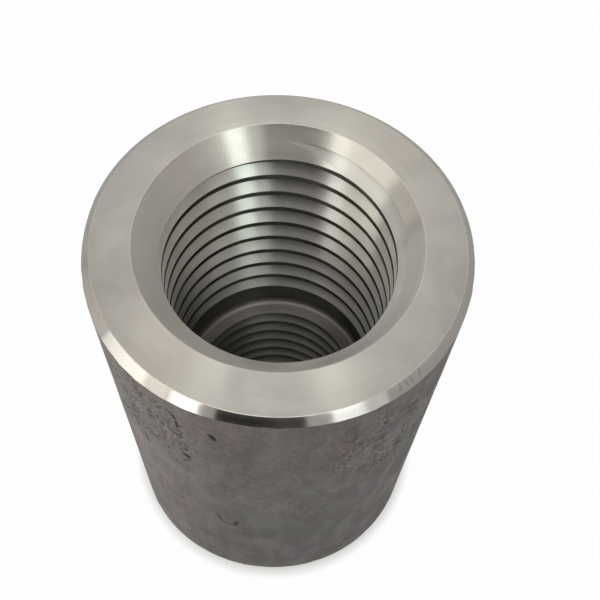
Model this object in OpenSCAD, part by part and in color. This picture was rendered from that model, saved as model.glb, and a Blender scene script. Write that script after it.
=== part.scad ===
// Transition coupler for two reinforcing bars of different size.
// One steel sleeve, sawn from round bar, faced, bored, countersunk and tapped.
// It stands on its lower end: +Z runs along the bore, and the origin is the
// centre of the lower face. The bores are drawn at tapping size, which is the
// minor diameter of their metric threads.

/* [Sleeve] */
// Outer diameter of the round bar
sleeve_d = 51; // [48:0.5:64]
// Length over the two faced ends
sleeve_len = 73; // [60:0.5:92]
// Width of the 45 degree chamfer round each outer edge
edge_chamfer = 1; // [0.2:0.1:2]

/* [Upper bore, for the larger bar] */
// Nominal diameter of the upper thread
upper_thread_d = 36; // [30:0.5:44]
// Pitch of the upper thread
upper_pitch = 4; // [3:0.25:5]
// Depth from the upper face to the shoulder
upper_bore_depth = 44.2; // [36:0.1:54]
// Radius left by the boring tool's nose where the wall meets the shoulder
tool_nose_r = 0.5; // [0.2:0.1:0.8]

/* [Lower bore, for the smaller bar] */
// Nominal diameter of the lower thread
lower_thread_d = 30; // [24:0.5:36]
// Pitch of the lower thread
lower_pitch = 3.5; // [2.5:0.25:4.5]

/* [Countersinks] */
// How far each countersink's mouth stands outside its thread's nominal radius
sink_margin = 1.1; // [0.4:0.1:1.6]
// Included angle of both countersinks
sink_angle = 90; // [60:5:120]

/* [Hidden] */
$fn = 96;

// Minor diameter of an ISO metric internal thread: D - 1.0825 P
MINOR_PER_PITCH = 5 / 8 * sqrt(3);
function tapping_r(thread_d, pitch) = (thread_d - MINOR_PER_PITCH * pitch) / 2;
function sink_r(thread_d) = thread_d / 2 + sink_margin;
function sink_depth(mouth_r, bore_r) = (mouth_r - bore_r) / tan(sink_angle / 2);

sleeve_r = sleeve_d / 2;
face_r = sleeve_r - edge_chamfer;
shoulder_z = sleeve_len - upper_bore_depth;

upper_bore_r = tapping_r(upper_thread_d, upper_pitch);
upper_sink_r = sink_r(upper_thread_d);
upper_sink_z = sleeve_len - sink_depth(upper_sink_r, upper_bore_r);

lower_bore_r = tapping_r(lower_thread_d, lower_pitch);
lower_sink_r = sink_r(lower_thread_d);
lower_sink_z = sink_depth(lower_sink_r, lower_bore_r);

// The fillet fits on the shoulder, however narrow a pair of threads leaves it
fillet_r = max(0, min(tool_nose_r, upper_bore_r - lower_bore_r));

// Half section of the sleeve, counterclockwise from the lower mouth
module sleeve_section()
    polygon([
        [lower_sink_r, 0],
        [face_r, 0],
        [sleeve_r, edge_chamfer],
        [sleeve_r, sleeve_len - edge_chamfer],
        [face_r, sleeve_len],
        [upper_sink_r, sleeve_len],
        [upper_bore_r, upper_sink_z],
        [upper_bore_r, shoulder_z],
        [lower_bore_r, shoulder_z],
        [lower_bore_r, lower_sink_z],
    ]);

// Metal left in the corner between the upper wall and the shoulder
module corner_fillet()
    translate([upper_bore_r - fillet_r, shoulder_z])
        difference() {
            square(fillet_r);
            translate([0, fillet_r]) circle(fillet_r);
        }

module coupler_sleeve()
    color([0.46, 0.45, 0.43])
        rotate_extrude() {
            sleeve_section();
            if (fillet_r > 0) corner_fillet();
        }

coupler_sleeve();
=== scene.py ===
"""Looks of a stepped rebar coupler: one steel sleeve with two tapped bores, in a small light studio.

The sleeve is built as a ring of half sections. Each section is drawn at its own azimuth, with the
two threads cut where their helices pass, and neighbouring sections are stitched together.

Lengths are in millimetres, and become metres where a mesh, lamp or camera is made. Depth is measured
down from the upper face. Azimuth is in degrees, 0 towards the camera and 90 to its right.
"""
import logging
import math
from dataclasses import dataclass, replace
from enum import Enum
from typing import Any, NamedTuple

import bpy
from mathutils import Matrix, Vector


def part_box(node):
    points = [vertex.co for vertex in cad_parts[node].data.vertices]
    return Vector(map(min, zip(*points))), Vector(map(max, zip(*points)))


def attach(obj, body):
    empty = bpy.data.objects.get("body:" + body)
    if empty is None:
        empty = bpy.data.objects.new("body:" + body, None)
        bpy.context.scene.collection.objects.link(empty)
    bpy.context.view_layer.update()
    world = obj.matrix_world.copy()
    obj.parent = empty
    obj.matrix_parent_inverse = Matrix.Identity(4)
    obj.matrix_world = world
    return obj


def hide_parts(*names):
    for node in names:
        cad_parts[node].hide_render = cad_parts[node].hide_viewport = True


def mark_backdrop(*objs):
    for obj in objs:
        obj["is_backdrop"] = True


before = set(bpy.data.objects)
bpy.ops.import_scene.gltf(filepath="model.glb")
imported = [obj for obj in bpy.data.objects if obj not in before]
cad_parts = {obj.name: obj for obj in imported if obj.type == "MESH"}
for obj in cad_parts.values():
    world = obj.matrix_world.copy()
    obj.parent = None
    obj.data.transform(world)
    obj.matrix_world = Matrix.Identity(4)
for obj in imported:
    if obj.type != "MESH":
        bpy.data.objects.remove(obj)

LOG = logging.getLogger("coupler")

NODE = "coupler_sleeve"
MM = 0.001
MICROMETRE = 1e-6
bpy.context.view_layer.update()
FLANK = math.radians(37.5)

Colour = tuple[float, float, float]
Span = tuple[float, float]
Tag = tuple[str, int, int]
Wave = tuple[int, float, float]
Socket = bpy.types.NodeSocket

WHITE: Colour = (1.0, 1.0, 1.0)


def in_scene(name: str, data: bpy.types.ID) -> bpy.types.Object:
    """Makes an object and links it to the scene.

    Args:
        name: Of the object.
        data: Its mesh, lamp or camera.

    Returns:
        The object.
    """
    thing = bpy.data.objects.new(name, data)
    bpy.context.scene.collection.objects.link(thing)
    return thing


class Zone(Enum):
    """The sleeve's surfaces that are finished in their own way. The value is the material's index."""

    BARREL = 0
    CHAMFER = 1
    FACE = 2
    COUNTERSINK = 3
    FLANK = 4
    # Bore wall and thread crests: a darkened finish, painted shade.
    BORE = 5
    # The shoulder: a darkened finish, painted shade.
    SHOULDER = 6
    # The lower thread's flanks: a darkened copy of FLANK, painted shade.
    INNER_FLANK = 7


class Side(Enum):
    """The two ends of a stretch of the section."""

    START = 0
    END = 1


# ---------------------------------------------------------------- section


@dataclass(frozen=True)
class Stretch:
    """A straight piece of the half section, between one point and the next.

    Attributes:
        zone: The finish that it takes.
        lead: Rise of its surface in one turn, 0 where the surface is turned and not helical.
        soft: True where it shades as a rounded corner between its neighbours.
    """

    zone: Zone
    lead: float = 0.0
    soft: bool = False


class Section:
    """The sleeve's half section at one azimuth: out along the lower face, up, in and down the bore."""

    def __init__(self, tag: str, r: float, z: float) -> None:
        """Starts the section at a point.

        Args:
            tag: Name of the point.
            r: Distance from the axis.
            z: Height over the lower face.
        """
        self.tags: list[Tag] = [(tag, 0, 0)]
        self.points: list[tuple[float, float]] = [(r, z)]
        self.stretches: list[Stretch] = []

    def go(self, tag: str | Tag, r: float, z: float, stretch: Stretch) -> None:
        """Draws a stretch to the next point.

        Args:
            tag: Name of the point. The same name in the next section is the same edge.
            r: Distance from the axis.
            z: Height over the lower face.
            stretch: What the piece up to this point is.
        """
        self.tags.append((tag, 0, 0) if isinstance(tag, str) else tag)
        self.points.append((r, z))
        self.stretches.append(stretch)

    def normals(self) -> list[tuple[tuple[float, float], tuple[float, float]]]:
        """Finds how the surface faces at both ends of each stretch.

        Returns:
            For each stretch, the normal (r, z) at its start and at its end.
        """
        own = []
        for (r0, z0), (r1, z1) in zip(self.points, self.points[1:]):
            length = math.hypot(r1 - r0, z1 - z0) or 1.0
            own.append(((z1 - z0) / length, (r0 - r1) / length))
        last = len(own) - 1
        return [
            (own[max(i - 1, 0)], own[min(i + 1, last)]) if s.soft else (own[i], own[i])
            for i, s in enumerate(self.stretches)
        ]


@dataclass(frozen=True)
class Groove:
    """One corner of a thread groove's outline.

    Attributes:
        tag: Its name, the same in every section.
        r: Distance from the axis.
        depth: Down from the upper face.
        stretch: What the piece up to this corner is.
    """

    tag: Tag
    r: float
    depth: float
    stretch: Stretch


@dataclass(frozen=True)
class Thread:
    """An internal metric thread, right-handed, that opens the bore out from its minor radius.

    Attributes:
        name: Short name, used in the tags.
        pitch: Axial distance of neighbouring crests.
        minor_r: Radius of the crests, which is the tapped bore's radius.
        first_depth: Depth of the first groove's middle at azimuth 0.
        turns: Number of grooves that a section can hold.
        full_turn: Turn of the helix up to which the groove has its full depth.
        last_turn: Turn at which it has run out.
        crest_break: Size of the broken edge on each crest.
        finish: The flanks' finish.
    """

    name: str
    pitch: float
    minor_r: float
    first_depth: float
    turns: int
    full_turn: float = math.inf
    last_turn: float = math.inf
    crest_break: float = 0.03
    finish: Zone = Zone.FLANK

    @property
    def root(self) -> float:
        """Half width of the flat at the bottom of the groove."""
        return self.pitch / 50

    @property
    def height(self) -> float:
        """Depth of the full groove, which leaves a quarter of the pitch as the crest."""
        return (3 / 8 * self.pitch - self.root) / math.tan(FLANK)

    def share(self, turn: float) -> float:
        """How much of the full groove is cut.

        Args:
            turn: Place along the helix, in turns down from the first groove at azimuth 0.

        Returns:
            1 along the thread, falling to 0 where the tool leaves the wall.
        """
        if turn <= self.full_turn:
            return 1.0
        return max(0.0, (self.last_turn - turn) / (self.last_turn - self.full_turn))

    def outline(self, azimuth: float) -> list[Groove]:
        """Lists the corners of every groove at one azimuth, from the mouth down.

        Args:
            azimuth: Degrees, from 0 up to but not including 360.

        Returns:
            Six corners for each groove. Each has the stretch that leads to it.
        """
        # The crests take the bore wall's darkened finish, painted shade.
        crest = Stretch(Zone.BORE, self.pitch)
        flank = Stretch(self.finish, self.pitch)
        rounded = Stretch(self.finish, self.pitch, soft=True)
        corners = []
        for n in range(self.turns):
            turn = n - azimuth / 360
            share = self.share(turn)
            if share <= 0.0:
                continue
            middle = self.first_depth + self.pitch * turn
            deep = share * self.height
            root = self.root
            half = root + deep * math.tan(FLANK)
            edge = self.crest_break * min(1.0, 2 * share)
            lip_r = self.minor_r + edge * math.cos(FLANK)
            lip = half - edge * math.sin(FLANK)
            shape = (
                (self.minor_r, -half - edge, crest),
                (lip_r, -lip, rounded),
                (self.minor_r + deep, -root, flank),
                (self.minor_r + deep, root, rounded),
                (lip_r, lip, flank),
                (self.minor_r, half + edge, rounded),
            )
            for j, (r, offset, stretch) in enumerate(shape):
                corners.append(Groove((self.name, n, j), r, middle + offset, stretch))
        return corners


@dataclass(frozen=True)
class Countersink:
    """A 45 degree cone that opens a bore at one end of the sleeve.

    Attributes:
        mouth_r: Radius where the cone meets the end face.
        mouth_depth: Depth of that face.
        inward: 1 where depth increases into the bore, and -1 where it decreases.
        off_centre: How far its centre lies off the sleeve's axis.
        off_azimuth: In which direction.
    """

    mouth_r: float
    mouth_depth: float
    inward: int
    off_centre: float = 0.0
    off_azimuth: float = 0.0

    def radius(self, azimuth: float, depth: float) -> float:
        """The cone's distance from the sleeve's axis, also beyond the cone's ends.

        Args:
            azimuth: Degrees.
            depth: Down from the upper face.

        Returns:
            The distance.
        """
        off = self.off_centre * math.cos(math.radians(azimuth - self.off_azimuth))
        return self.mouth_r + off - self.inward * (depth - self.mouth_depth)


# ---------------------------------------------------------------- shader trees


class Tree:
    """A node tree, with short ways to add and join its nodes."""

    def __init__(self, tree: bpy.types.NodeTree) -> None:
        """Wraps a tree and empties it."""
        self.tree = tree
        tree.nodes.clear()

    def join(self, value: Any, socket: Socket) -> None:
        """Feeds an input.

        Args:
            value: Another node's socket, or a plain value.
            socket: The input.
        """
        if isinstance(value, Socket):
            self.tree.links.new(value, socket)
        else:
            socket.default_value = value

    def add(self, kind: str, inputs: dict[str | int, Any] | None = None, **settings: Any) -> bpy.types.Node:
        """Adds a node.

        Args:
            kind: The node's type, without "ShaderNode".
            inputs: Sockets or plain values for its inputs.
            **settings: Values for the node's own properties.

        Returns:
            The node.
        """
        node = self.tree.nodes.new("ShaderNode" + kind)
        for name, value in settings.items():
            setattr(node, name, value)
        for key, value in (inputs or {}).items():
            self.join(value, node.inputs[key])
        return node

    def use(self, group: bpy.types.NodeTree, inputs: dict[str, Any]) -> bpy.types.bpy_prop_collection:
        """Adds a node group and returns its outputs."""
        return self.add("Group", inputs, node_tree=group).outputs

    def math(self, operation: str, *values: Any, clamp: bool = False) -> Socket:
        """Adds a Math node and returns its result."""
        return self.add("Math", dict(enumerate(values)), operation=operation, use_clamp=clamp).outputs[0]

    def times(self, first: Any, second: Any, clamp: bool = False) -> Socket:
        """Multiplies two numbers."""
        return self.math("MULTIPLY", first, second, clamp=clamp)

    def plus(self, first: Any, second: Any, clamp: bool = False) -> Socket:
        """Adds two numbers."""
        return self.math("ADD", first, second, clamp=clamp)

    def minus(self, first: Any, second: Any) -> Socket:
        """Takes the second number from the first."""
        return self.math("SUBTRACT", first, second)

    def over(self, first: Any, second: Any) -> Socket:
        """Divides the first number by the second."""
        return self.math("DIVIDE", first, second)

    def vector(self, operation: str, *values: Any) -> bpy.types.Node:
        """Adds a Vector Math node."""
        return self.add("VectorMath", dict(enumerate(values)), operation=operation)

    def scaled(self, vector: Any, scale: Any) -> Socket:
        """Multiplies a vector or a colour by a number."""
        return self.add("VectorMath", {0: vector, "Scale": scale}, operation="SCALE").outputs[0]

    def xyz(self, x: Any, y: Any, z: Any) -> Socket:
        """Puts three numbers together as a vector."""
        return self.add("CombineXYZ", {0: x, 1: y, 2: z}).outputs[0]

    def parts(self, vector: Socket) -> bpy.types.bpy_prop_collection:
        """Takes a vector apart into its three numbers."""
        return self.add("SeparateXYZ", {0: vector}).outputs

    def remap(self, value: Any, low: Any, high: Any, to_low: float = 0.0, to_high: float = 1.0,
              smooth: bool = False) -> Socket:
        """Maps a range of values to another, and holds the ends.

        Args:
            value: What is mapped.
            low: Start of its range.
            high: End of its range.
            to_low: Result at low.
            to_high: Result at high.
            smooth: True for a smooth step.

        Returns:
            The mapped value.
        """
        inputs = {"Value": value, "From Min": low, "From Max": high, "To Min": to_low, "To Max": to_high}
        kind = "SMOOTHSTEP" if smooth else "LINEAR"
        return self.add("MapRange", inputs, interpolation_type=kind).outputs["Result"]

    def mix(self, share: Any, first: Socket | Colour, second: Socket | Colour) -> Socket:
        """Mixes two colours, with the given share of the second one."""
        a, b = (c if isinstance(c, Socket) else (*c, 1.0) for c in (first, second))
        return self.add("Mix", {0: share, 6: a, 7: b}, data_type="RGBA").outputs[2]

    def noise(self, vector: Any, scale: Any, detail: float = 2.0, roughness: float = 0.5,
              distortion: float = 0.0) -> Socket:
        """Adds a noise texture.

        Args:
            vector: Where it is read.
            scale: How many times it turns up and down in a unit.
            detail: How many finer ones are laid over it.
            roughness: How strong those are.
            distortion: How much it is twisted.

        Returns:
            Its value, around one half.
        """
        inputs = {"Vector": vector, "Scale": scale, "Detail": detail, "Roughness": roughness,
                  "Distortion": distortion}
        return self.add("TexNoise", inputs).outputs[0]


class Group(Tree):
    """A shader node group with named inputs and outputs."""

    def __init__(self, name: str, inputs: dict[str, Any], outputs: dict[str, str]) -> None:
        """Makes an empty group.

        Args:
            name: The effect's name.
            inputs: For each input its default: a number, a vector, or None for a vector that is given.
            outputs: For each output, its socket type without "NodeSocket".
        """
        tree = bpy.data.node_groups.new(name, "ShaderNodeTree")
        super().__init__(tree)
        for key, value in inputs.items():
            kind = "NodeSocketFloat" if isinstance(value, float) else "NodeSocketVector"
            socket = tree.interface.new_socket(key, in_out="INPUT", socket_type=kind)
            if value is not None:
                socket.default_value = value
        for key, kind in outputs.items():
            tree.interface.new_socket(key, in_out="OUTPUT", socket_type="NodeSocket" + kind)
        self.given = tree.nodes.new("NodeGroupInput").outputs
        self.result = tree.nodes.new("NodeGroupOutput").inputs

    def put(self, name: str, socket: Socket) -> None:
        """Joins a value to one of the group's outputs."""
        self.tree.links.new(socket, self.result[name])

    def shortened(self) -> Socket:
        """The place in millimetres, with the height divided by the group's stretch."""
        squeeze = self.xyz(1.0, 1.0, self.over(1.0, self.given["Stretch"]))
        return self.vector("MULTIPLY", self.given["Millimetres"], squeeze).outputs[0]


class Effects:
    """The surface effects that the finishes share, each a node group."""

    def __init__(self) -> None:
        """Builds each group once."""
        self.cylinder = self.make_cylinder()
        self.tool_lines = self.make_tool_lines()
        self.blotches = self.make_blotches()
        self.cracks = self.make_cracks()
        self.scratches = self.make_scratches()
        self.mark = self.make_mark()

    @staticmethod
    def make_cylinder() -> bpy.types.NodeTree:
        """Turns a place into its distance from the axis, height and direction, in millimetres.

        Returns:
            The group.
        """
        g = Group("cylinder place", {"Position": None},
                  {"Radius": "Float", "Height": "Float", "Side": "Float", "Direction": "Vector",
                   "Millimetres": "Vector"})
        place = g.scaled(g.given["Position"], 1 / MM)
        parts = g.parts(place)
        flat = g.xyz(parts[0], parts[1], 0.0)
        g.put("Radius", g.vector("LENGTH", flat).outputs["Value"])
        g.put("Height", parts[2])
        way = g.vector("NORMALIZE", flat).outputs[0]
        g.put("Direction", way)
        g.put("Side", g.parts(way)[0])
        g.put("Millimetres", place)
        return g.tree

    def make_tool_lines(self) -> bpy.types.NodeTree:
        """Fine lines round the axis, as a lathe tool leaves them, and broader bands of tone.

        Returns:
            The group.
        """
        g = Group("tool lines", {"Position": None, "Along Radius": 1.0, "Along Height": 0.0,
                                 "Lines per mm": 6.0, "Broken": 0.6}, {"Height": "Float", "Tone": "Float"})
        bands_per_line = 0.17
        place = g.use(self.cylinder, {"Position": g.given["Position"]})
        across = g.plus(g.times(place["Radius"], g.given["Along Radius"]),
                        g.times(place["Height"], g.given["Along Height"]))
        count = g.times(across, g.given["Lines per mm"])
        way = g.parts(g.scaled(place["Direction"], g.given["Broken"]))
        g.put("Height", g.noise(g.xyz(way[0], way[1], count), 1.0))
        broad = g.xyz(way[0], way[1], g.times(count, bands_per_line))
        g.put("Tone", g.noise(broad, 1.0, detail=3.0, roughness=0.6))
        return g.tree

    @staticmethod
    def make_blotches() -> bpy.types.NodeTree:
        """Cloudy patches, drawn out along the bar.

        Returns:
            The group.
        """
        g = Group("blotches", {"Millimetres": None, "Size": 8.0, "Shift": 0.0, "Contrast": 1.0,
                               "Stretch": 1.0}, {"Patch": "Float"})
        gain = 2.4
        shift = g.xyz(g.given["Shift"], g.given["Shift"], g.given["Shift"])
        place = g.vector("ADD", g.shortened(), shift).outputs[0]
        cloud = g.noise(place, g.over(1.0, g.given["Size"]), detail=3.0, distortion=0.4)
        offset = g.times(g.minus(cloud, 0.5), g.given["Contrast"])
        g.put("Patch", g.plus(g.times(offset, gain), 0.5, clamp=True))
        return g.tree

    @staticmethod
    def make_cracks() -> bpy.types.NodeTree:
        """Thin wandering cracks and laps, as rolling leaves them in a bar's skin.

        Returns:
            The group.
        """
        g = Group("cracks", {"Millimetres": None, "Size": 2.0, "Width": 0.1, "Stretch": 1.6},
                  {"Mask": "Float"})
        place = g.shortened()
        wander = g.noise(place, g.over(1.0, g.given["Size"]), detail=3.0, roughness=0.6, distortion=0.6)
        ridge = g.math("ABSOLUTE", g.minus(wander, 0.5))
        steepness, gaps_per_crack, gap_edges = 0.4, 1.7, (0.45, 0.6)
        line = g.remap(ridge, 0.0, g.times(g.given["Width"], steepness), 1.0, 0.0, smooth=True)
        gap = g.noise(place, g.over(gaps_per_crack, g.given["Size"]))
        g.put("Mask", g.times(line, g.remap(gap, *gap_edges, smooth=True)))
        return g.tree

    @staticmethod
    def make_scratches() -> bpy.types.NodeTree:
        """Short thin scratches that run in one rough direction.

        Returns:
            The group.
        """
        g = Group("scratches", {"Millimetres": None, "Turn": (0.0, 0.0, 0.0), "Length": 9.0,
                                "Width": 0.25, "Amount": 0.5}, {"Mask": "Float"})
        turned = g.add("Mapping", {"Vector": g.given["Millimetres"], "Rotation": g.given["Turn"]})
        parts = g.parts(turned.outputs[0])
        long = g.over(parts[2], g.given["Length"])
        wide = [g.over(parts[k], g.given["Width"]) for k in (0, 1)]
        lines = g.noise(g.xyz(wide[0], wide[1], long), 1.0, detail=1.0)
        fewest, spread, edge = 0.82, 0.2, 0.05
        low = g.minus(fewest, g.times(g.given["Amount"], spread))
        g.put("Mask", g.remap(g.minus(lines, low), 0.0, edge, smooth=True))
        return g.tree

    @staticmethod
    def make_mark() -> bpy.types.NodeTree:
        """One ragged mark of a given place, length and width.

        Returns:
            The group.
        """
        g = Group("single mark", {"Millimetres": None, "Centre": (0.0, 0.0, 0.0),
                                  "Direction": (0.0, 0.0, 1.0), "Across": (1.0, 0.0, 0.0),
                                  "Half Length": 1.0, "Half Width": 0.3, "Ragged": 0.25}, {"Mask": "Float"})
        rags_per_mm, thinnest, edge = 1.6, 2.0, (0.6, 1.2)
        rough = g.noise(g.given["Millimetres"], rags_per_mm, detail=3.0)
        push = g.times(g.minus(rough, 0.5), g.given["Ragged"])
        away = g.vector("SUBTRACT", g.given["Millimetres"], g.given["Centre"]).outputs[0]
        facing = g.vector("CROSS_PRODUCT", g.given["Direction"], g.given["Across"]).outputs[0]
        along, off, out = (g.vector("DOT_PRODUCT", away, axis).outputs["Value"]
                           for axis in (g.given["Direction"], g.given["Across"], facing))
        u = g.over(along, g.given["Half Length"])
        v = g.over(g.plus(off, push), g.given["Half Width"])
        w = g.over(out, g.math("MAXIMUM", thinnest, g.given["Half Width"]))
        far = g.math("SQRT", g.plus(g.plus(g.times(u, u), g.times(v, v)), g.times(w, w)))
        g.put("Mask", g.remap(far, *edge, 1.0, 0.0, smooth=True))
        return g.tree


# ---------------------------------------------------------------- finishes


class Coat(Tree):
    """A new material: its tree, its Principled shader and the sleeve's own coordinates."""

    def __init__(self, name: str, effects: Effects, length: float) -> None:
        """Makes the material.

        Args:
            name: The material's name.
            effects: The shared node groups.
            length: Of the sleeve.
        """
        self.material = bpy.data.materials.new(name)
        self.material.use_nodes = True
        super().__init__(self.material.node_tree)
        self.effects = effects
        self.length = length
        self.shader = self.add("BsdfPrincipled")
        self.add("OutputMaterial", {"Surface": self.shader.outputs[0]})
        self.position = self.add("TexCoord").outputs["Object"]
        self.place = self.use(effects.cylinder, {"Position": self.position})
        self.millimetres = self.place["Millimetres"]

    def finished(self, colour: Socket, roughness: Socket, height: Socket, relief: float,
                 constants: dict[str, float]) -> bpy.types.Material:
        """Joins everything to the shader.

        Args:
            colour: Of the surface.
            roughness: Of the surface.
            height: Of the bump, from 0 to about 1.
            relief: What 1 is in the bump, in micrometres.
            constants: Plain values for the shader's other inputs.

        Returns:
            The finished material.
        """
        bump = self.add("Bump", {"Height": height, "Strength": 1.0, "Distance": relief * MICROMETRE})
        joined = {"Base Color": colour, "Roughness": roughness, "Normal": bump.outputs[0]}
        for key, value in (joined | constants).items():
            self.join(value, self.shader.inputs[key])
        return self.material


@dataclass(frozen=True)
class Mark:
    """A single mark on the sleeve.

    Attributes:
        azimuth: Degrees.
        depth: Down from the upper face.
        lean: Angle from the axis, clockwise as seen from outside, in degrees.
        length: Half length.
        width: Half width.
        dark: How much it darkens the surface. Below 0, it lightens it.
        sunk: Depth in the bump, as a share of the finish's own.
        radius: Distance of its middle from the axis.
        slope: How far the surface leans back from upright, in degrees.
    """

    azimuth: float
    depth: float
    lean: float
    length: float
    width: float
    dark: float = 0.8
    sunk: float = 1.5
    radius: float = 25.6
    slope: float = 0.0

    def mask(self, coat: Coat) -> Socket:
        """Places the mark.

        Args:
            coat: The material that it is on.

        Returns:
            Its mask.
        """
        a, lean, slope = (math.radians(angle) for angle in (self.azimuth, self.lean, self.slope))
        around = Vector((math.cos(a), math.sin(a), 0.0))
        inward = Vector((-math.sin(a), math.cos(a), 0.0))
        up = Vector((0.0, 0.0, math.cos(slope))) + inward * math.sin(slope)
        return coat.use(coat.effects.mark, {
            "Millimetres": coat.millimetres,
            "Centre": inward * -self.radius + Vector((0, 0, coat.length - self.depth)),
            "Direction": up * math.cos(lean) + around * math.sin(lean),
            "Across": around * math.cos(lean) - up * math.sin(lean),
            "Half Length": self.length,
            "Half Width": self.width,
        })[0]


@dataclass(frozen=True)
class Cloud:
    """Blotches of one size, and what is made of them.

    Attributes:
        size: Of a blotch, in millimetres.
        shift: Moves the pattern, so that no two clouds are alike.
        contrast: Of the pattern.
        stretch: How much longer the blotches are along the bar than round it.
        span: The range of the pattern that counts.
        result: What that range becomes.
    """

    size: float
    shift: float = 0.0
    contrast: float = 1.0
    stretch: float = 2.0
    span: Span = (0.1, 0.9)
    result: Span = (0.0, 1.0)

    def pattern(self, coat: Coat) -> Socket:
        """The pattern on a material, from 0 to 1."""
        return coat.use(coat.effects.blotches, {
            "Millimetres": coat.millimetres, "Size": self.size, "Shift": self.shift,
            "Contrast": self.contrast, "Stretch": self.stretch})[0]

    def mapped(self, coat: Coat, pattern: Socket, smooth: bool = False) -> Socket:
        """Maps a pattern's span to the result."""
        return coat.remap(pattern, *self.span, *self.result, smooth)

    def mask(self, coat: Coat, smooth: bool = False) -> Socket:
        """The pattern on a material with its span mapped to the result."""
        return self.mapped(coat, self.pattern(coat), smooth)


@dataclass(frozen=True)
class TurnedSteel:
    """Bare steel straight from the lathe.

    Attributes:
        name: The material's name.
        base: Colour of the metal.
        roughness: Of the cleanest metal.
        dull: What the dullest patches add to the roughness.
        across: Share of radius and of height in the direction across the tool's lines.
        lines: Tool lines in a millimetre.
        depth: Height of the lines in the bump, in micrometres.
        grain: Anisotropy of the shine.
        tint: How much the lines and patches change the colour.
        stain: Colour of the patches.
        rim_shade: Painted shade: how much darker it is at the outer one of the two radii than at the inner
            one.
        rim_shade_radii: Those radii.
        marks: Single marks.
        mark_colour: Their colour.
        band: The range of the tone that the tool's lines give.
        uneven: How much the lines change the roughness.
        patch: The patches.
    """

    name: str
    base: Colour = (0.56, 0.545, 0.52)
    roughness: float = 0.3
    dull: float = 0.05
    across: tuple[float, float] = (1.0, 0.0)
    lines: float = 3.0
    depth: float = 0.6
    grain: float = 1.0
    tint: float = 0.07
    stain: Colour = (0.46, 0.44, 0.41)
    rim_shade: float = 0.0
    rim_shade_radii: Span = (20.0, 24.5)
    marks: tuple[Mark, ...] = ()
    mark_colour: Colour = (0.05, 0.045, 0.04)
    band: Span = (0.3, 0.7)
    uneven: float = 0.03
    patch: Cloud = Cloud(7.0, stretch=1.0, span=(0.2, 0.8))

    def material(self, effects: Effects, length: float) -> bpy.types.Material:
        """Makes the material.

        Args:
            effects: The shared node groups.
            length: Of the sleeve.

        Returns:
            The finished material.
        """
        coat = Coat(self.name, effects, length)
        lines = coat.use(effects.tool_lines, {
            "Position": coat.position, "Along Radius": self.across[0], "Along Height": self.across[1],
            "Lines per mm": self.lines})
        patch = self.patch.pattern(coat)
        stained = coat.mix(coat.times(patch, self.tint * 4, clamp=True), self.base, self.stain)
        tone = coat.remap(lines["Tone"], *self.band, 1 - self.tint, 1 + self.tint)
        # Painted shade: the finish is darkened towards its outer radius.
        if self.rim_shade:
            tone = coat.times(tone, coat.remap(coat.place["Radius"], *self.rim_shade_radii, 1.0, 1 - self.rim_shade))
        colour = coat.scaled(stained, tone)
        for mark in self.marks:
            colour = coat.mix(coat.times(mark.mask(coat), mark.dark), colour, self.mark_colour)
        rough = coat.remap(patch, *self.patch.span, self.roughness, self.roughness + self.dull)
        rough = coat.plus(rough, coat.remap(lines["Tone"], *self.band, -self.uneven, self.uneven))
        around = coat.add("Tangent", direction_type="RADIAL", axis="Z")
        coat.join(around.outputs[0], coat.shader.inputs["Tangent"])
        return coat.finished(colour, rough, lines["Height"], self.depth, {
            "Metallic": 1.0, "Anisotropic": self.grain, "Anisotropic Rotation": 0.25})


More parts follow.
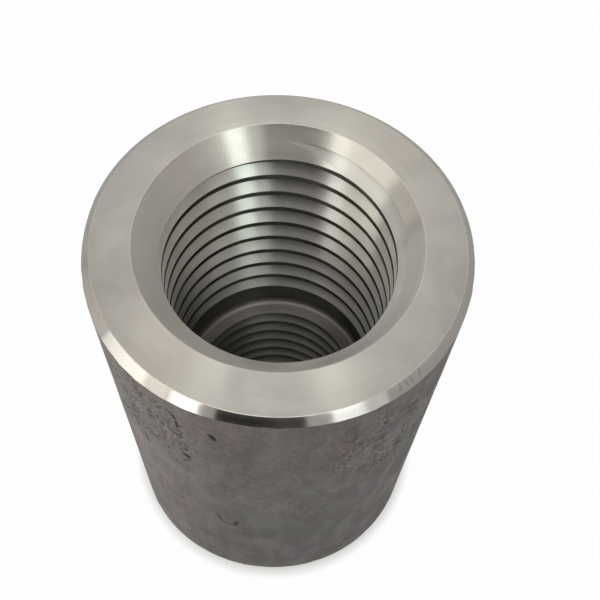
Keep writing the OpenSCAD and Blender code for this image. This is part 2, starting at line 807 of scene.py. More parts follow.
@dataclass(frozen=True)
class MillSkin:
    """The dark oxide that hot rolling leaves, scuffed and scratched in handling.

    Attributes:
        name: The material's name.
        base: Colour of most of the skin.
        tints: The clouds of other colours that lie over it, purplish, greenish and brown.
        worn: Colour of scuffed and scratched places.
        flake: Colour of flaked places.
        pit: Colour inside pits and cracks.
        metallic: How metallic it looks.
        gloss: Its specular level.
        relief: Height of the bump, in micrometres.
        broken: How the places where the skin is cracked and pitted break up.
        stray: Share of the cracks and pits that there are all over the skin.
        middle: Middle-sized clouds of tone.
        fine: Small clouds of tone.
        grain: The smallest clouds of tone.
        streak: Streaks of tone along the bar.
        flaked: Flaked places.
        pitted: Pits.
        lumps: Lumps in the bump.
        dull: Clouds of roughness.
        polish: How much smoother it is where it is scratched.
        handled: Where the scratches are.
        scratches: Turn, length, width and amount of each family of scratches.
        cracks: Size, width and strength of each family of cracks.
        crack_dark: How much the cracks darken the skin.
        sunk: Depth of cracks, pits and lumps in the bump.
        stirred: How strong the small clouds are outside and inside the broken places.
        rise: Heights, as shares of the length, between which the skin gets livelier and lighter.
        calm: How strong the small clouds are below them.
        foot: How light the skin is below them.
        lit_side_span: Places to the side between which the painted light on the left side fades out.
        side_light: Tone of that painted light at those places, lighter on the left.
        fields: Places where the skin is cracked and pitted.
        marks: Single marks.
    """

    name: str
    base: Colour = (0.156, 0.137, 0.138)
    tints: tuple[tuple[Cloud, Colour], ...] = (
        (Cloud(7.0, 0.0, 1.5, span=(0.3, 0.9)), (0.177, 0.143, 0.160)),
        (Cloud(9.0, 31.0, 1.5, span=(0.4, 1.0)), (0.143, 0.145, 0.136)),
        (Cloud(11.0, 72.0, 1.5, span=(0.5, 1.0)), (0.162, 0.140, 0.133)),
    )
    worn: Colour = (0.34, 0.32, 0.31)
    flake: Colour = (0.29, 0.225, 0.24)
    pit: Colour = (0.014, 0.011, 0.011)
    metallic: float = 0.35
    gloss: float = 0.25
    relief: float = 40.0
    broken: Cloud = Cloud(3.5, 120.0, 1.4, span=(0.2, 0.6))
    stray: float = 0.12
    middle: Cloud = Cloud(2.6, 57.0, result=(0.94, 1.06))
    fine: Cloud = Cloud(0.9, 12.0, stretch=1.2, result=(-0.14, 0.14))
    grain: Cloud = Cloud(0.4, 5.0, 1.2, 1.0, result=(-0.16, 0.16))
    streak: Cloud = Cloud(1.3, 17.0, stretch=14.0, result=(-0.06, 0.06))
    flaked: Cloud = Cloud(1.1, 203.0, 1.5, 2.2, (0.45, 0.9), (0.0, 0.7))
    pitted: Cloud = Cloud(0.6, 233.0, 1.5, 1.2, (0.78, 0.98), (0.0, 0.7))
    lumps: Cloud = Cloud(1.5, 140.0, 1.3, 1.3)
    dull: Cloud = Cloud(4.0, 150.0, 1.2, span=(0.2, 0.8), result=(0.43, 0.6))
    polish: float = 0.12
    handled: Cloud = Cloud(5.0, 83.0, 1.5, span=(0.55, 1.0), result=(0.0, 0.5))
    scratches: tuple[tuple[Colour, float, float, float], ...] = (
        ((0.5, 0.2, 0.0), 5.0, 0.22, 0.55),
        ((-0.4, 0.5, 0.3), 4.0, 0.2, 0.5),
    )
    cracks: tuple[tuple[float, float, float], ...] = ((2.2, 0.11, 1.0), (1.0, 0.14, 0.7))
    crack_dark: float = 0.6
    sunk: float = 1.5
    stirred: Span = (0.85, 1.9)
    rise: Span = (0.2, 0.6)
    calm: float = 0.5
    foot: float = 0.85
    # Painted light: the skin's left side is drawn lighter, where the lamps fall.
    lit_side_span: Span = (-0.8, -0.25)
    side_light: Span = (1.62, 0.98)
    fields: tuple[Mark, ...] = (
        Mark(-41, 13, 0, 13, 9),
        Mark(38, 16, 0, 13, 9),
        Mark(150, 30, 0, 22, 10),
        Mark(225, 50, 0, 18, 10),
    )
    marks: tuple[Mark, ...] = (
        Mark(-17.5, 7.7, -26, 1.1, 0.38, 1.0, 3.0),
        Mark(-30.2, 4.5, -49, 0.6, 0.25, 0.85),
        Mark(-28.8, 5.6, -13, 1.1, 0.3, 0.95),
        Mark(-28.2, 7.6, -3, 1.0, 0.28, 0.95),
        Mark(-27.1, 8.1, 40, 0.6, 0.2, 0.75),
        Mark(-26.8, 18.7, -20, 0.95, 0.46, 1.0, 2.0),
        Mark(-27.4, 20.7, 40, 0.8, 0.2, 0.8),
        Mark(-44.0, 23.9, -20, 1.1, 0.42, 0.85),
        Mark(-18.7, 43.4, -9, 2.0, 0.34, 0.6),
        Mark(-16.0, 45.6, -75, 1.4, 0.4, 0.6),
        Mark(-12.9, 44.5, 11, 1.7, 0.42, 0.85, 2.0),
        Mark(35.2, 12.6, 35, 0.9, 0.16, -0.6, 0.5),
        Mark(33.4, 15.9, -40, 0.9, 0.14, -0.5, 0.5),
        Mark(44.0, 19.0, 12, 3.2, 0.15, -0.4, 0.4),
        Mark(47.0, 9.0, 8, 2.6, 0.14, -0.4, 0.4),
        Mark(33.4, 27.6, 10, 2.0, 0.15, -0.4, 0.4),
        Mark(22.6, 9.4, 70, 0.7, 0.16, 0.6),
        Mark(26.0, 12.2, -60, 0.6, 0.2, 0.6),
        Mark(-48.7, 15.1, 10, 2.4, 0.16, -0.45, 0.4),
        Mark(-49.0, 22.3, -8, 2.0, 0.16, -0.45, 0.4),
    )

    def material(self, effects: Effects, length: float) -> bpy.types.Material:
        """Makes the material.

        Args:
            effects: The shared node groups.
            length: Of the sleeve.

        Returns:
            The finished material.
        """
        coat = Coat(self.name, effects, length)
        colour = self.base
        for cloud, tint in self.tints:
            colour = coat.mix(cloud.mask(coat), colour, tint)
        broken = self.broken_places(coat)
        middle, fine = self.middle.pattern(coat), self.fine.pattern(coat)
        colour = coat.scaled(colour, self.tone(coat, broken, middle, fine))
        flaked = coat.times(broken, self.flaked.mask(coat))
        colour = coat.mix(flaked, colour, self.flake)
        spread = coat.plus(broken, self.stray, clamp=True)
        pitted = coat.times(self.pitted.mask(coat), spread)
        colour = coat.mix(pitted, colour, self.pit)

        families = [
            coat.use(effects.scratches, {"Millimetres": coat.millimetres, "Turn": turn, "Length": long,
                                         "Width": wide, "Amount": amount})[0]
            for turn, long, wide, amount in self.scratches
        ]
        light = coat.times(coat.math("MAXIMUM", *families), self.handled.mask(coat, smooth=True))
        colour = coat.mix(light, colour, self.worn)

        families = [
            coat.times(coat.use(effects.cracks, {"Millimetres": coat.millimetres, "Size": size,
                                                 "Width": width})[0], strength)
            for size, width, strength in self.cracks
        ]
        crack = coat.times(coat.math("MAXIMUM", *families), spread)
        colour = coat.mix(coat.times(crack, self.crack_dark), colour, self.pit)
        height = coat.times(coat.plus(middle, coat.times(fine, 0.5)), 0.5)
        height = coat.minus(height, coat.times(coat.math("MAXIMUM", crack, pitted), self.sunk))
        lumps = coat.times(broken, self.lumps.pattern(coat))
        height = coat.plus(height, coat.times(lumps, self.sunk))

        for mark in self.marks:
            mask = mark.mask(coat)
            share = coat.times(mask, abs(mark.dark))
            colour = coat.mix(share, colour, self.pit if mark.dark > 0 else self.worn)
            if mark.dark > 0:
                height = coat.minus(height, coat.times(mask, mark.sunk))
        rough = coat.minus(self.dull.mask(coat), coat.times(light, self.polish))
        return coat.finished(colour, rough, height, self.relief, {
            "Metallic": self.metallic, "Specular IOR Level": self.gloss})

    def broken_places(self, coat: Coat) -> Socket:
        """Finds where the skin is cracked and pitted.

        Args:
            coat: The material.

        Returns:
            The mask of those places.
        """
        places = [place.mask(coat) for place in self.fields]
        mask = places[0]
        for place in places[1:]:
            mask = coat.math("MAXIMUM", mask, place)
        return coat.times(mask, self.broken.mask(coat))

    def tone(self, coat: Coat, broken: Socket, middle: Socket, fine: Socket) -> Socket:
        """How light the skin is, with painted light on its left side.

        Args:
            coat: The material.
            broken: Mask of the broken places.
            middle: Pattern of the middle-sized clouds.
            fine: Pattern of the small clouds.

        Returns:
            The tone, around 1.
        """
        grain, streak = self.grain.pattern(coat), self.streak.pattern(coat)
        rough_tone = coat.plus(self.fine.mapped(coat, fine), self.grain.mapped(coat, grain))
        rough_tone = coat.times(rough_tone, coat.remap(broken, 0.0, 1.0, *self.stirred))
        high = coat.remap(coat.place["Height"], *(coat.length * share for share in self.rise))
        rough_tone = coat.times(rough_tone, coat.remap(high, 0.0, 1.0, self.calm, 1.0))
        tone = coat.plus(self.middle.mapped(coat, middle), self.streak.mapped(coat, streak))
        tone = coat.plus(tone, rough_tone)
        # Painted light: the tone rises towards the skin's left side.
        side_light = coat.remap(coat.place["Side"], *self.lit_side_span, *self.side_light)
        return coat.times(tone, coat.times(side_light, coat.remap(high, 0.0, 1.0, self.foot, 1.0)))


# ---------------------------------------------------------------- sleeve


@dataclass(frozen=True)
class Dent:
    """A shallow hollow knocked into the rolled skin of the barrel.

    Attributes:
        azimuth: Degrees.
        depth: Down from the upper face.
        width: Half width along the circumference.
        height: Half height along the axis.
        sunk: How deep it goes.
    """

    azimuth: float
    depth: float
    width: float
    height: float
    sunk: float


@dataclass(frozen=True)
class Barrel:
    """The rolled outer skin, slightly out of round and uneven.

    Attributes:
        radius: Nominal radius.
        swell: How far the bar stands proud between its four low lines.
        lean: How much more it stands proud on the left than on the right.
        ripple: Height of the unevenness left by rolling.
        waves: Its waves: how many there are in one turn, the climb in a millimetre and the shift.
        under: How far the skin's low lines lie inside the radius.
        reach: How many times its half size a dent can be felt from its middle.
        dents: Knocks in the skin.
    """

    radius: float
    swell: float = 0.28
    lean: float = 0.09
    ripple: float = 0.012
    waves: tuple[Wave, ...] = ((5, 0.11, 0.0), (9, -0.23, 1.0), (14, 0.31, 2.0), (3, -0.47, 0.0))
    under: float = 0.03
    reach: float = 3.0
    dents: tuple[Dent, ...] = (
        Dent(-17.5, 7.7, 0.75, 1.1, 0.16),
        Dent(-30.0, 7.2, 1.4, 1.8, 0.06),
        Dent(-46.0, 20.0, 2.2, 3.6, 0.05),
        Dent(34.0, 14.0, 2.0, 4.0, 0.05),
        Dent(27.0, 20.0, 1.6, 2.4, 0.04),
        Dent(118.0, 16.0, 1.5, 2.5, 0.07),
        Dent(163.0, 47.0, 1.1, 1.6, 0.10),
        Dent(214.0, 28.0, 2.4, 3.0, 0.06),
        Dent(262.0, 55.0, 1.2, 2.2, 0.08),
    )

    def at(self, azimuth: float, depth: float) -> float:
        """The skin's radius at a point.

        Args:
            azimuth: Degrees.
            depth: Down from the upper face.

        Returns:
            Distance from the axis.
        """
        a = math.radians(azimuth)
        proud = (self.swell - self.lean * math.sin(a)) * math.sin(2 * a) ** 2
        wave = sum(math.sin(count * a + climb * depth + shift) for count, climb, shift in self.waves)
        r = self.radius - self.under + proud + self.ripple * (0.5 * wave - 1.0)
        for dent in self.dents:
            turn = (azimuth - dent.azimuth + 180) % 360 - 180
            u = math.radians(turn) * self.radius / dent.width
            v = (depth - dent.depth) / dent.height
            if max(abs(u), abs(v)) < self.reach:
                r -= dent.sunk * math.exp(-u * u - v * v)
        return r

    def normal(self, azimuth: float, depth: float) -> tuple[float, float, float]:
        """How the skin faces at a point.

        Args:
            azimuth: Degrees.
            depth: Down from the upper face.

        Returns:
            Unit vector in the directions (outwards, up, round).
        """
        step = 0.05
        turn = math.degrees(step / self.radius)
        r = self.at(azimuth, depth)
        down = (self.at(azimuth, depth + step) - r) / step
        along = (self.at(azimuth + turn, depth) - r) / step
        length = math.sqrt(1 + down * down + along * along)
        return 1 / length, down / length, -along / length


@dataclass(frozen=True)
class Sleeve:
    """The coupler's one piece: a steel sleeve with two tapped bores of different size.

    Attributes:
        length: Over the two faced ends.
        barrel: The rolled outer skin.
        face_r: Outer radius of the faced ends, where the chamfers start.
        chamfer: Nominal size of the chamfers.
        shoulder_depth: Depth of the shoulder between the bores.
        nose_r: Fillet that the boring tool leaves at the foot of the wall.
        upper: Thread of the larger bore.
        lower: Thread of the smaller bore.
        upper_sink: Countersink of the larger bore.
        lower_sink: Countersink of the smaller bore.
        columns: Number of sections in the ring.
        rows: Number of rows of faces up the barrel.
        edge_break: Size of the broken edges of the faced ends.
        raggedness: How unevenly the chamfer runs out in the rolled skin.
        rags: The waves of that line: how many there are in one turn, and the shift.
        nose_steps: Number of faces round the fillet.
    """

    length: float
    barrel: Barrel
    face_r: float = 24.5
    chamfer: float = 1.0
    shoulder_depth: float = 44.2
    nose_r: float = 0.9
    upper: Thread = Thread("upper", 4.0, 15.8349, 3.62, 11, full_turn=8.72, last_turn=9.17)
    # The lower thread's flanks take a darkened copy of the flank finish: painted shade deep in the bore.
    lower: Thread = Thread("lower", 3.5, 13.1056, 44.21, 10, finish=Zone.INNER_FLANK)
    upper_sink: Countersink = Countersink(19.1, 0.0, 1, off_centre=0.31, off_azimuth=195.0)
    lower_sink: Countersink = Countersink(16.1, 73.0, -1)
    columns: int = 360
    rows: int = 88
    edge_break: float = 0.06
    raggedness: float = 0.035
    rags: tuple[tuple[int, float], ...] = ((23, 0.0), (37, 1.3), (61, 0.7))
    nose_steps: int = 4

    def chamfer_depth(self, azimuth: float, end_depth: float) -> float:
        """How far the 45 degree chamfer reaches down the barrel.

        Args:
            azimuth: Degrees.
            end_depth: Depth of the barrel's skin that it cuts.

        Returns:
            Its axial size at this azimuth.
        """
        a = math.radians(azimuth)
        rag = sum(math.sin(count * a + shift) for count, shift in self.rags)
        rag *= math.sin(7 * a + end_depth) * self.raggedness / 2
        return self.barrel.at(azimuth, end_depth) - self.face_r + rag

    def mouth(self, section: Section, azimuth: float, corners: list[Groove], sink: Countersink) -> None:
        """Draws the stretch of bore that a thread shares with its countersink.

        Args:
            section: The section that is drawn on.
            azimuth: Degrees.
            corners: The thread's corners, with the first one already drawn or hidden by the cone.
            sink: The bore's countersink.
        """
        cone = Stretch(Zone.COUNTERSINK)
        for here, there in zip(corners, corners[1:]):
            over = here.r - sink.radius(azimuth, here.depth)
            over_next = there.r - sink.radius(azimuth, there.depth)
            if (over > 0) != (over_next > 0):
                t = over / (over - over_next)
                r = here.r + t * (there.r - here.r)
                depth = here.depth + t * (there.depth - here.depth)
                tag = ("cross " + there.tag[0], there.tag[1], there.tag[2])
                section.go(tag, r, self.length - depth, there.stretch if over > 0 else cone)
            if over_next > 0:
                section.go(there.tag, there.r, self.length - there.depth, there.stretch)

    def outside(self, azimuth: float) -> Section:
        """Draws the section's outer half, from the lower face to the upper one.

        Args:
            azimuth: Degrees.

        Returns:
            The section, ready for the bore.
        """
        b = self.edge_break
        chamfer, skin, face = Stretch(Zone.CHAMFER), Stretch(Zone.BARREL), Stretch(Zone.FACE)
        rounded = Stretch(Zone.CHAMFER, soft=True)
        foot = self.chamfer_depth(azimuth, self.length - self.chamfer)
        top = self.length - self.chamfer_depth(azimuth, self.chamfer)
        section = Section("lower face", self.face_r - b, 0.0)
        section.go("lower chamfer", self.face_r + b, b, rounded)
        section.go("foot", self.face_r + foot, foot, chamfer)
        for i in range(1, self.rows):
            z = foot + (top - foot) * i / self.rows
            r = self.barrel.at(azimuth, self.length - z)
            section.go(("skin", 0, i), r, z, skin)
        section.go("top", self.face_r + self.length - top, top, skin)
        section.go("upper chamfer", self.face_r + b, self.length - b, chamfer)
        section.go("upper face", self.face_r - b, self.length, rounded)
        section.go("upper face, in", self.upper_sink.radius(azimuth, 0.0) + b, self.length, face)
        return section

    def bore(self, section: Section, azimuth: float) -> None:
        """Draws the section's inner half, from the upper face down to the lower one.

        Args:
            section: The section that is drawn on.
            azimuth: Degrees.
        """
        b = self.edge_break
        wall, cone = Stretch(Zone.BORE), Stretch(Zone.COUNTERSINK)
        rounded = Stretch(Zone.COUNTERSINK, soft=True)
        section.go("upper mouth", self.upper_sink.radius(azimuth, 0.0) - b, self.length - b, rounded)
        corners = self.upper.outline(azimuth)
        hidden = Groove(("upper", -1, 5), self.upper.minor_r, -self.upper.pitch, wall)
        self.mouth(section, azimuth, [hidden, *corners], self.upper_sink)

        shoulder_z = self.length - self.shoulder_depth
        for i in range(self.nose_steps + 1):
            turn = math.radians(90 * i / self.nose_steps)
            r = self.upper.minor_r - self.nose_r * (1 - math.cos(turn))
            z = shoulder_z + self.nose_r * (1 - math.sin(turn))
            section.go(("nose", 0, i), r, z, Stretch(Zone.SHOULDER, soft=True) if i else wall)

        corners = self.lower.outline(azimuth)
        first = next(i for i, c in enumerate(corners) if c.depth > self.shoulder_depth)
        here, there = corners[first - 1], corners[first]
        t = (self.shoulder_depth - here.depth) / (there.depth - here.depth)
        lip_r = here.r + t * (there.r - here.r) if first else self.lower.minor_r
        section.go("lip", lip_r, shoulder_z, Stretch(Zone.SHOULDER))
        lip = Groove(("lip", 0, 0), lip_r, self.shoulder_depth, wall)
        self.mouth(section, azimuth, [lip, *corners[first:]], self.lower_sink)
        section.go("lower mouth", self.lower_sink.mouth_r - b, b, cone)
        section.go("lower face, in", self.lower_sink.mouth_r + b, 0.0, rounded)
        section.go("lower face", self.face_r - b, 0.0, Stretch(Zone.FACE))

    def build(self) -> bpy.types.Object:
        """Makes the sleeve's mesh, with the surface's true normals at each face corner.

        Returns:
            The new object, in metres in the row frame.
        """
        stitcher = Stitcher(self)
        for i in range(self.columns):
            azimuth = 360 * i / self.columns
            section = self.outside(azimuth)
            self.bore(section, azimuth)
            stitcher.add_section(section, azimuth)
        for i in range(self.columns):
            stitcher.stitch(i, (i + 1) % self.columns)
        return stitcher.finish("turned_sleeve")

    @staticmethod
    def finishes() -> dict[Zone, MillSkin | TurnedSteel]:
        """Chooses the finishes.

        Returns:
            The finish of each of the sleeve's surfaces.
        """
        along = (0.0, 1.0)
        dashes = tuple(
            Mark(azimuth, 0.5, lean, 0.7, 0.2, 0.2, radius=25.0, slope=45.0)
            for azimuth, lean in ((36.5, 8.0), (38.8, -14.0), (40.6, -12.0), (43.8, 20.0))
        )
        flank = TurnedSteel("thread flank", (0.6, 0.6, 0.57), dull=0.03, across=(1.0, 0.3), depth=0.3)
        return {
            Zone.BARREL: MillSkin("mill skin"),
            Zone.CHAMFER: TurnedSteel("turned chamfer", roughness=0.17, across=along, lines=7.0,
                                      depth=1.0, tint=0.05, marks=dashes),
            # The faced end is darkened towards its outer edge, painted shade.
            Zone.FACE: TurnedSteel("faced end", (0.545, 0.525, 0.485), 0.38, lines=5.0, depth=1.2,
                                   rim_shade=0.12),
            Zone.COUNTERSINK: TurnedSteel("countersink", (0.6, 0.58, 0.545), across=along, lines=7.0,
                                          depth=0.4, tint=0.05),
            Zone.FLANK: flank,
            # A darkened copy of the flank finish, painted shade in the lower bore.
            Zone.INNER_FLANK: replace(flank, name="lower thread flank, painted shade", base=(0.35, 0.35, 0.33)),
            # Painted shade: the bore wall and crests are darkened far below the steel's own colour.
            Zone.BORE: TurnedSteel("bored wall, painted shade", (0.14, 0.14, 0.13), across=(1.0, 0.8), grain=0.9,
                                   tint=0.1),
            # Painted shade: the shoulder is darkened below the steel's own colour.
            Zone.SHOULDER: TurnedSteel("bored shoulder, painted shade", (0.37, 0.36, 0.345), 0.35, grain=0.9, tint=0.08),
        }

    def dress(self, piece: bpy.types.Object) -> None:
        """Gives each surface of the sleeve its material.

        Args:
            piece: The sleeve's object.
        """
        effects, finishes = Effects(), self.finishes()
        for zone in Zone:
            piece.data.materials.append(finishes[zone].material(effects, self.length))
            LOG.info("finish: %s on the %s", finishes[zone].name, zone.name.lower())


def shifted(tag: Tag) -> Tag:
    """A thread's tag as the section before azimuth 0 calls it, one turn further on."""
    name, n, j = tag
    return (name, n + 1, j) if name.endswith(("upper", "lower")) else tag


class Corner(NamedTuple):
    """A corner of a face between two sections.

    Attributes:
        column: The section that the corner is on.
        point: The corner's point in that section.
        owner: The section in which the face's stretch is counted.
        stretch: That stretch.
        side: Which end of the stretch the corner is at.
    """

    column: int
    point: int
    owner: int
    stretch: int
    side: Side


class Stitcher:
    """Joins neighbouring sections into one closed mesh."""

    def __init__(self, sleeve: Sleeve) -> None:
        """Starts an empty mesh.

        Args:
            sleeve: The sleeve that it is for.
        """
        self.sleeve = sleeve
        self.sections: list[Section] = []
        self.azimuths: list[float] = []
        self.starts: list[int] = []
        self.normals_of: list[list] = []
        self.places: list[Vector] = []
        self.faces: list[tuple[int, ...]] = []
        self.zones: list[int] = []
        self.normals: list[tuple[float, float, float]] = []

    def add_section(self, section: Section, azimuth: float) -> None:
        """Adds one section's points.

        Args:
            section: A closed section, whose last point is its first one again.
            azimuth: Where it stands, in degrees.
        """
        a = math.radians(azimuth)
        self.starts.append(len(self.places))
        self.sections.append(section)
        self.azimuths.append(a)
        self.normals_of.append(section.normals())
        for r, z in section.points[:-1]:
            self.places.append(Vector((r * math.sin(a), -r * math.cos(a), z)) * MM)

    def index(self, column: int, i: int) -> int:
        """The mesh's number for a section's point."""
        return self.starts[column] + i % (len(self.sections[column].points) - 1)

    def normal(self, corner: Corner) -> tuple[float, float, float]:
        """Finds the surface's true normal at a face corner.

        Args:
            corner: The corner.

        Returns:
            A unit vector.
        """
        column, point, owner, stretch, side = corner
        r, z = self.sections[column].points[point]
        a = self.azimuths[column]
        kind = self.sections[owner].stretches[stretch]
        if kind.zone is Zone.BARREL:
            out, up, around = self.sleeve.barrel.normal(math.degrees(a), self.sleeve.length - z)
        else:
            out, up = self.normals_of[owner][stretch][side.value]
            around = -up * kind.lead / (2 * math.pi * r)
        x = out * math.sin(a) + around * math.cos(a)
        y = -out * math.cos(a) + around * math.sin(a)
        length = math.sqrt(x * x + y * y + up * up)
        return x / length, y / length, up / length

    def face(self, *corners: Corner) -> None:
        """Adds one face, which takes the finish of its first corner's stretch.

        Args:
            *corners: Three or four, in order round the face.
        """
        self.faces.append(tuple(self.index(corner.column, corner.point) for corner in corners))
        self.zones.append(self.sections[corners[0].owner].stretches[corners[0].stretch].zone.value)
        self.normals.extend(self.normal(corner) for corner in corners)

    def stitch(self, left: int, right: int) -> None:
        """Makes the faces between two sections.

        Where both have the next point, a four-sided face joins them. Where only one has it, a
        triangle closes the gap.

        Args:
            left: Number of the section at the lower azimuth.
            right: Number of the next one round.
        """
        tags_l = self.sections[left].tags
        tags_r = self.sections[right].tags
        if right == 0:
            tags_r = [shifted(tag) for tag in tags_r]
        common = set(tags_l) & set(tags_r)
        last_l, last_r = len(tags_l) - 1, len(tags_r) - 1
        i = j = 0
        while i < last_l or j < last_r:
            met_l = i < last_l and tags_l[i + 1] in common
            met_r = j < last_r and tags_r[j + 1] in common
            if met_l and met_r:
                self.face(Corner(left, i, left, i, Side.START), Corner(right, j, right, j, Side.START),
                          Corner(right, j + 1, right, j, Side.END), Corner(left, i + 1, left, i, Side.END))
                i, j = i + 1, j + 1
            elif i < last_l and not met_l:
                self.face(Corner(left, i, left, i, Side.START), Corner(right, j, left, i, Side.START),
                          Corner(left, i + 1, left, i, Side.END))
                i += 1
            else:
                self.face(Corner(left, i, right, j, Side.START), Corner(right, j, right, j, Side.START),
                          Corner(right, j + 1, right, j, Side.END))
                j += 1

    def finish(self, name: str) -> bpy.types.Object:
        """Makes the Blender object.

        Args:
            name: The piece's name.

        Returns:
            The object, linked to the scene.
        """
        mesh = bpy.data.meshes.new(name)
        mesh.from_pydata(self.places, [], self.faces)
        mesh.polygons.foreach_set("material_index", self.zones)
        mesh.polygons.foreach_set("use_smooth", [True] * len(self.faces))
        mesh.normals_split_custom_set(self.normals)
        mesh.update()
        return in_scene(name, mesh)


# ---------------------------------------------------------------- studio


def flat_sheet(name: str, finish: str, width: float, height: float) -> tuple[bpy.types.Object, Tree]:
    """Makes a flat rectangle round the origin, with an empty material.

    Args:
        name: Of the object.
        finish: Name of the material.
        width: Size along X, in metres.
        height: Size along Y, in metres.

    Returns:
        The object and the material's tree.
    """
    w, h = width / 2, height / 2
    mesh = bpy.data.meshes.new(name)
    mesh.from_pydata([(-w, -h, 0), (w, -h, 0), (w, h, 0), (-w, h, 0)], [], [(0, 1, 2, 3)])
    material = bpy.data.materials.new(finish)
    material.use_nodes = True
    mesh.materials.append(material)
    return in_scene(name, mesh), Tree(material.node_tree)


@dataclass(frozen=True)
class Softbox:
    """A lamp behind a diffusing cloth, placed by what it fills of the view from the sleeve's mouth.

    Attributes:
        name: Short name.
        azimuths: Its left and right edges, in degrees.
        elevations: Its lower and upper edges, in degrees.
        light: Brightness of its front, where 1 is white.
        colour: Colour of its light.
        distance: From the sleeve's axis where it stands straight, and from the mouth where it leans.
        leans: True where it leans over to face the mouth.
    """

    name: str
    azimuths: tuple[float, float]
    elevations: tuple[float, float]
    light: float
    colour: Colour = WHITE
    distance: float = 900.0
    leans: bool = False

    def size(self) -> tuple[float, float]:
        """Finds how large it is.

        Returns:
            Its width and height, in metres.
        """
        turn = math.radians(self.azimuths[1] - self.azimuths[0]) / 2
        low, high = (math.radians(e) for e in self.elevations)
        away = self.distance * MM
        if self.leans:
            across = away * math.cos((low + high) / 2) * math.tan(turn)
            return 2 * across, 2 * away * math.tan((high - low) / 2)
        return 2 * away * math.tan(turn), away * (math.tan(high) - math.tan(low))

    def placed(self, centre: Vector) -> Matrix:
        """Where it stands.

        Args:
            centre: The middle of the mouth.

        Returns:
            Its matrix, with the front on local -Z.
        """
        a = math.radians(sum(self.azimuths) / 2)
        low, high = (math.radians(e) for e in self.elevations)
        facing, up = Vector((math.sin(a), -math.cos(a), 0.0)), Vector((0.0, 0.0, 1.0))
        place = facing + up * (math.tan(low) + math.tan(high)) / 2
        if self.leans:
            middle = (low + high) / 2
            facing = place = facing * math.cos(middle) + up * math.sin(middle)
        turn = facing.to_track_quat("Z", "Y").to_matrix().to_4x4()
        return Matrix.Translation(centre + place * self.distance * MM) @ turn

    def build(self, centre: Vector) -> bpy.types.Object:
        """Makes the lamp.

        Args:
            centre: The middle of the mouth.

        Returns:
            The lamp's object.
        """
        lamp = bpy.data.lights.new(self.name, "AREA")
        lamp.shape = "RECTANGLE"
        lamp.size, lamp.size_y = self.size()
        lamp.energy = self.light * math.pi * lamp.size * lamp.size_y
        lamp.color = self.colour
        stand = in_scene(self.name, lamp)
        stand.matrix_world = self.placed(centre)
        stand.visible_camera = False
        return stand


@dataclass(frozen=True)
class DarkCard(Softbox):
    """A dark card that only shiny surfaces see."""

    def build(self, centre: Vector) -> bpy.types.Object:
        """Makes the card.

        Args:
            centre: The middle of the mouth.

        Returns:
            Nothing. The card is marked as part of the studio.
        """
        card, tree = flat_sheet(self.name, self.name, *self.size())
        glow = tree.add("Emission", {"Color": (*self.colour, 1.0), "Strength": self.light})
        tree.add("OutputMaterial", {"Surface": glow.outputs[0]})
        card.matrix_world = self.placed(centre)
        card.visible_camera = card.visible_diffuse = card.visible_shadow = False
        card.visible_transmission = False
        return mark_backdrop(card)


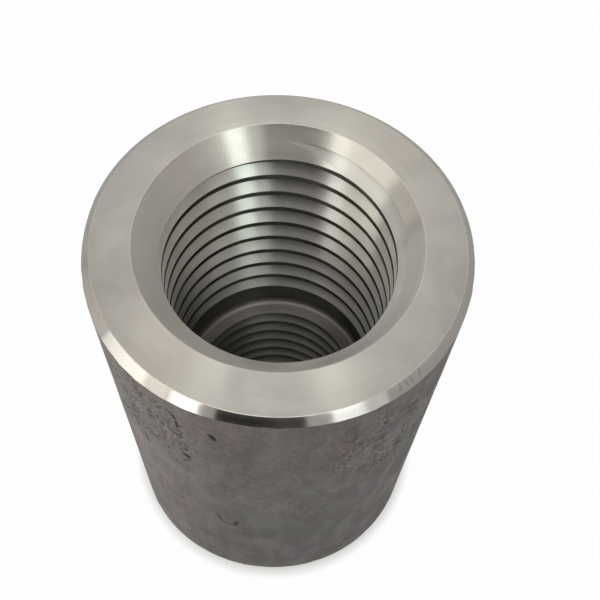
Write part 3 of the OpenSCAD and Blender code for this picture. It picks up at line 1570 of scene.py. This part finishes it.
@dataclass(frozen=True)
class Studio:
    """A pale floor, soft lamps and dark cards round the sleeve.

    Attributes:
        mouth_height: Height of the sleeve's upper face, which the lamps face.
        foot_radius: Radius of the sleeve's foot. The floor under it is dark.
        room: Brightness of the room, where 1 is white.
        room_colour: Colour of that light.
        floor_size: Side of the square floor, in metres.
        foot_shade: How far from the foot the floor starts to get light, and is light.
        floor_colour: Colour of the floor.
        floor_glow: Share of plain white in what the camera sees of the floor.
        floor_shine: Brightness that shiny metal sees the floor at.
        lamps: Softboxes and cards.
    """

    mouth_height: float
    foot_radius: float
    room: float = 0.52
    room_colour: Colour = (1.0, 0.95, 0.89)
    floor_size: float = 6.0
    foot_shade: Span = (-1.0, 2.0)
    floor_colour: Colour = (0.84, 0.85, 0.87)
    floor_glow: float = 0.97
    floor_shine: Colour = (0.51, 0.51, 0.49)
    lamps: tuple[Softbox, ...] = (
        Softbox("far left wall", (-110, -85), (3, 27), 0.5, (1.0, 0.93, 0.8)),
        Softbox("left sill", (-84, -48), (3, 14), 1.3),
        Softbox("left window", (-84, -60), (14, 27), 2.5, (1.0, 1.0, 0.85)),
        Softbox("left window, top", (-84, -60), (27, 40), 1.3, (1.0, 0.92, 0.82)),
        Softbox("left frame", (-60, -48), (14, 27), 0.5, (1.0, 0.9, 0.6)),
        Softbox("left frame, top", (-60, -48), (27, 42), 2.2, (1.0, 0.95, 0.8)),
        Softbox("left door", (-47.5, -34), (14, 27), 2.2, (1.0, 1.0, 0.95)),
        Softbox("left door, top", (-47.5, -34), (27, 40), 4.0, (0.98, 1.0, 0.9)),
        Softbox("left door, foot", (-47.5, -34), (3, 14), 0.4),
        Softbox("right sill", (26, 50), (3, 14), 1.25),
        Softbox("right window, foot", (26, 41), (14, 27), 0.75, (0.9, 0.9, 1.0)),
        Softbox("right window", (26, 41), (27, 40), 3.9, (0.86, 1.0, 0.92)),
        Softbox("right window, top", (26, 41), (40, 52), 2.0, (0.86, 1.0, 0.88)),
        Softbox("right lintel", (26, 50), (52, 64), 0.7),
        Softbox("right curtain", (15, 25), (40, 64), 0.75, (0.8, 1.0, 0.9)),
        Softbox("right wall", (41, 50), (40, 52), 1.15, (0.85, 1.0, 0.8)),
        Softbox("right corner", (50, 72), (40, 56), 0.55),
        Softbox("back wall", (-170, -115), (3, 27), 0.45),
        Softbox("ceiling", (140, 220), (50, 74), 0.95, leans=True),
        Softbox("left ceiling", (-162, -78), (60, 84), 0.3, leans=True),
        Softbox("right ceiling", (78, 162), (60, 84), 0.15, leans=True),
        Softbox("high ceiling", (132, 228), (69, 91), 1.45, leans=True),
        Softbox("overhead panel", (-69, 63), (71, 91), 0.5, (1.0, 0.97, 0.93), leans=True),
        DarkCard("low dark card", (-26, 14), (-5, 41), 0.02, distance=700),
        DarkCard("high dark card", (-32, 15), (44, 59), 0.16, distance=500, leans=True),
    )

    def floor(self) -> bpy.types.Object:
        """Makes the floor. It shows white to the camera, and keeps the sleeve's soft shadow.

        Returns:
            Nothing. The floor is marked as part of the studio.
        """
        floor, tree = flat_sheet("floor", "pale floor", self.floor_size, self.floor_size)
        matt = tree.add("BsdfDiffuse", {"Color": (*self.floor_colour, 1.0)}).outputs[0]
        path = tree.add("LightPath").outputs
        look = tree.mix(path["Is Camera Ray"], self.floor_shine, WHITE)
        glow = tree.add("Emission", {"Color": look, "Strength": 1.0}).outputs[0]
        white = tree.times(path["Is Camera Ray"], self.floor_glow)
        seen = tree.math("MAXIMUM", white, path["Is Glossy Ray"])
        away = tree.vector("LENGTH", tree.add("TexCoord").outputs["Object"]).outputs["Value"]
        open_floor = tree.remap(away, *((self.foot_radius + edge) * MM for edge in self.foot_shade))
        mixed = tree.add("MixShader", {0: tree.times(seen, open_floor), 1: matt, 2: glow})
        tree.add("OutputMaterial", {"Surface": mixed.outputs[0]})
        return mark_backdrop(floor)

    def world(self) -> None:
        """Lights the room evenly, and shows the camera a white background."""
        world = bpy.data.worlds.new("studio")
        bpy.context.scene.world = world
        world.use_nodes = True
        tree = Tree(world.node_tree)
        room, white = (
            tree.add("Background", {"Color": (*colour, 1.0), "Strength": strength}).outputs[0]
            for colour, strength in ((self.room_colour, self.room), (WHITE, 1.0))
        )
        seen = tree.add("LightPath").outputs["Is Camera Ray"]
        mixed = tree.add("MixShader", {0: seen, 1: room, 2: white})
        tree.add("OutputWorld", {"Surface": mixed.outputs[0]})

    def build(self) -> None:
        """Makes the whole studio."""
        self.floor()
        self.world()
        centre = Vector((0, 0, self.mouth_height * MM))
        for lamp in self.lamps:
            lamp.build(centre)
            LOG.info("studio: %s", lamp.name)


@dataclass(frozen=True)
class CloseCamera:
    """A camera held close over the mouth of the sleeve.

    Attributes:
        distance: From the middle of the upper face.
        elevation: Of the camera as seen from there, in degrees.
        aim: How far the view's middle is turned away from there, to the right and down, in degrees.
        roll: Turn of the camera about its view, in degrees.
        lens: Focal length on a 36 mm sensor.
    """

    distance: float = 115.69
    elevation: float = 56.95
    aim: tuple[float, float] = (1.41, 3.81)
    roll: float = -1.72
    lens: float = 53.58

    def build(self, mouth_height: float) -> bpy.types.Object:
        """Makes the scene's camera.

        Args:
            mouth_height: Height of the sleeve's upper face.

        Returns:
            The camera's object.
        """
        data = bpy.data.cameras.new("close camera")
        data.sensor_width = 36.0
        data.lens = self.lens
        data.clip_start = 0.005
        e = math.radians(self.elevation)
        out = Vector((0, -math.cos(e), math.sin(e)))
        tilt = Matrix.Rotation(math.pi / 2 - e, 4, "X")
        right, down = (math.radians(angle) for angle in self.aim)
        turned = (tilt @ Matrix.Rotation(-right, 4, "Y") @ Matrix.Rotation(-down, 4, "X")
                  @ Matrix.Rotation(-math.radians(self.roll), 4, "Z"))
        place = Vector((0, 0, mouth_height)) + out * self.distance
        camera = in_scene("close camera", data)
        camera.matrix_world = Matrix.Translation(place * MM) @ turned
        bpy.context.scene.camera = camera
        return camera


# ---------------------------------------------------------------- scene


def main() -> None:
    """Builds the sleeve and its studio in order."""
    logging.basicConfig(level=logging.INFO, format="%(message)s")
    low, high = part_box(NODE)
    length = (high.z - low.z) / MM
    radius = (high.y - low.y) / MM / 2
    sleeve = Sleeve(length, Barrel(radius))
    piece = sleeve.build()
    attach(piece, "root")
    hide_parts(NODE)
    sleeve.dress(piece)
    LOG.info("%s: %d faces", piece.name, len(piece.data.polygons))

    CloseCamera().build(length)
    Studio(length, radius).build()
    bpy.context.scene.view_settings.view_transform = "Standard"


if __name__ == "__main__":
    main()
